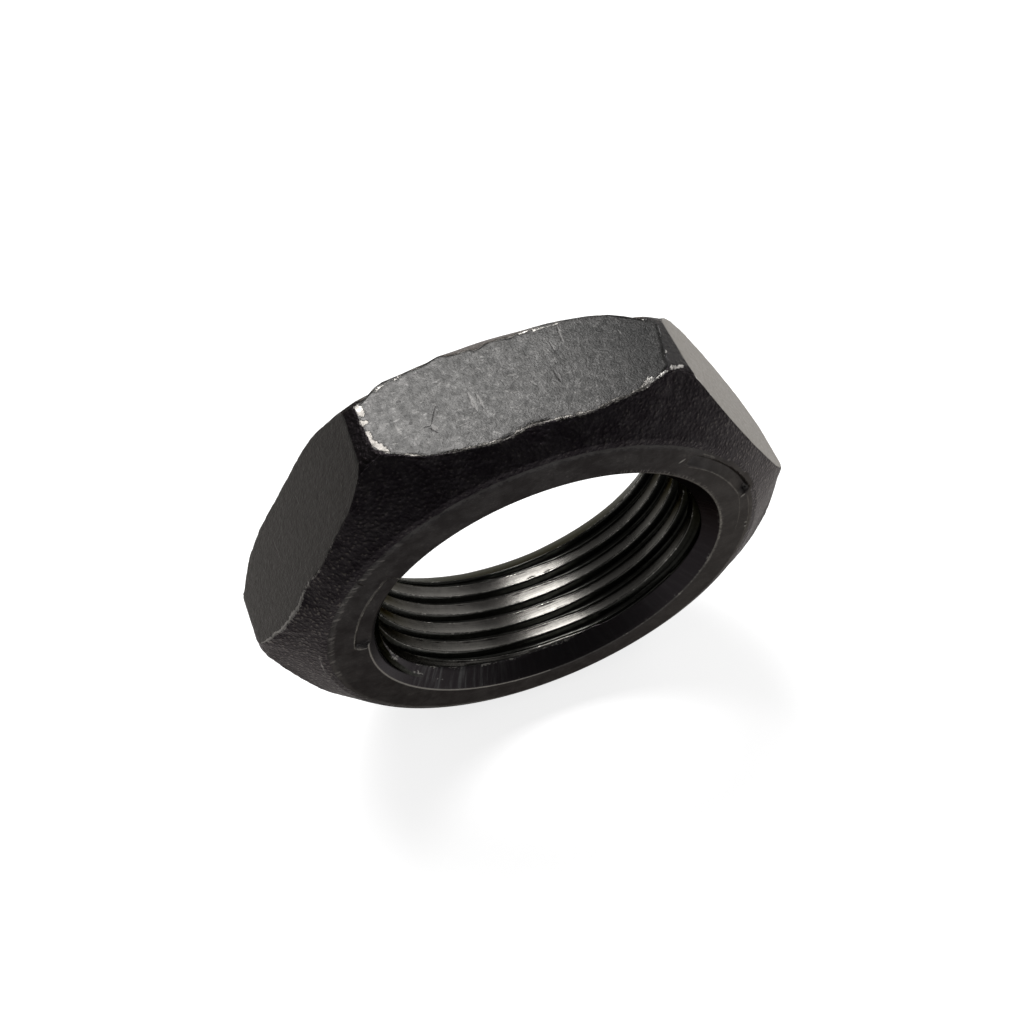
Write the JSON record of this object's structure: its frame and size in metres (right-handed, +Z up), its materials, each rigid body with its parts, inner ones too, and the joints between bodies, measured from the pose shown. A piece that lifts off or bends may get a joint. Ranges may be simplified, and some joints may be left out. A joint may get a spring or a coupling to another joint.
{
  "type": "spindle nut",
  "caption": "Thin hexagon nut with chamfered corners, a low washer face, curved grade marks and a countersunk threaded hole, standing on a flat.",
  "frame": {"origin": "middle of the flat that the nut stands on, halfway through its thickness", "axes": "+Z up, -Y out of the washer face along the thread axis, X across the corners"},
  "size_m": [0.0468, 0.0126, 0.041],
  "materials": {
    "black_steel": "black oxide, satin, worn to bare steel at the edges"
  },
  "bodies": {
    "root": {"nut": "black_steel"}
  },
  "joints": []
}
